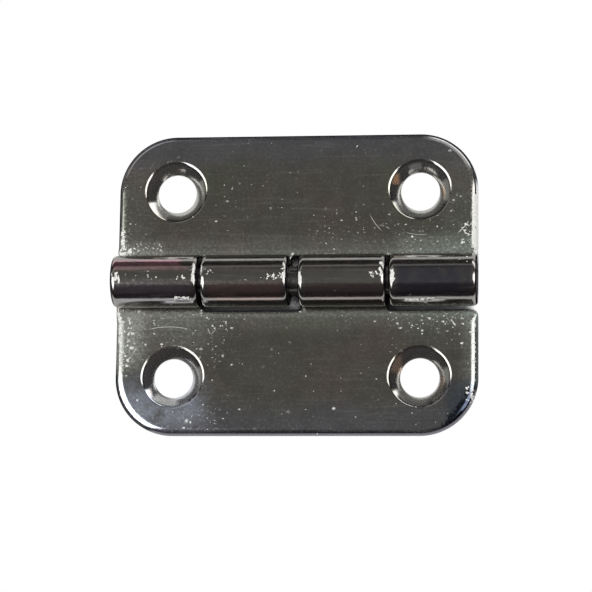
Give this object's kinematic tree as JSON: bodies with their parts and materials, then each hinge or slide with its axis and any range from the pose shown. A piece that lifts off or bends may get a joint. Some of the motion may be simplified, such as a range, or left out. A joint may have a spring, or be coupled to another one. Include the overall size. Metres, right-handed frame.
{
  "type": "hinge",
  "caption": "Small stamped butt hinge: flat leaves with rounded corners and countersunk screw holes, joined by rolled knuckles that turn on a plain pin.",
  "frame": {"origin": "on the back mounting plane, under the middle of the pin, with the hinge opened flat", "axes": "+X along the pin, +Y towards the leaf with the second and fourth knuckles, +Z out of the countersunk faces"},
  "size_m": [0.05, 0.042, 0.0072],
  "materials": {
    "plated_leaf": "dark bright plating over stamped steel, with pits, fine scratches and a dusty haze beside the barrel",
    "pin_steel": "plain drawn wire"
  },
  "bodies": {
    "lower_leaf": {"lower_leaf": "plated_leaf", "hinge_pin": "pin_steel"},
    "upper_leaf": {"upper_leaf": "plated_leaf"}
  },
  "joints": [
    {"name": "leaf_swing", "type": "hinge", "parent": "lower_leaf", "child": "upper_leaf", "pos_m": [0, 0, 0.0036], "axis": [1, 0, 0], "range_deg": [-90, 180]}
  ]
}
